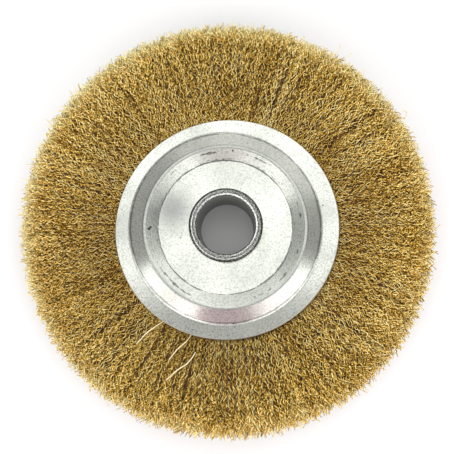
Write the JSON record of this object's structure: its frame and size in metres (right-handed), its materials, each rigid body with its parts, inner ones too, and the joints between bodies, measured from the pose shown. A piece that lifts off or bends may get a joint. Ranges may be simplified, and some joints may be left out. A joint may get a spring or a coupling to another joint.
{
  "type": "wire wheel brush",
  "caption": "Crimped wire wheel brush: brass-coated steel wires held between two pressed steel plates on a central tube, for cleaning and deburring metal.",
  "frame": {"origin": "centre of the wheel: on the bore's axis, at the middle of the width", "axes": "+Z along the bore's axis, out of the front face; +X to the right in the front view, +Y up in it"},
  "size_m": [0.1497, 0.1494, 0.026],
  "materials": {
    "hub_steel": "dull, with tool marks from rolling",
    "zinc_plate": "bright zinc plate, finely speckled",
    "ring_steel": "bare drawn wire",
    "brassed_wire": "thin brass coat on crimped steel wire"
  },
  "bodies": {
    "root": {"hub_tube": "hub_steel", "front_plate": "zinc_plate", "rear_plate": "zinc_plate", "retaining_ring": "ring_steel", "wire_bundles": "brassed_wire"}
  },
  "joints": []
}
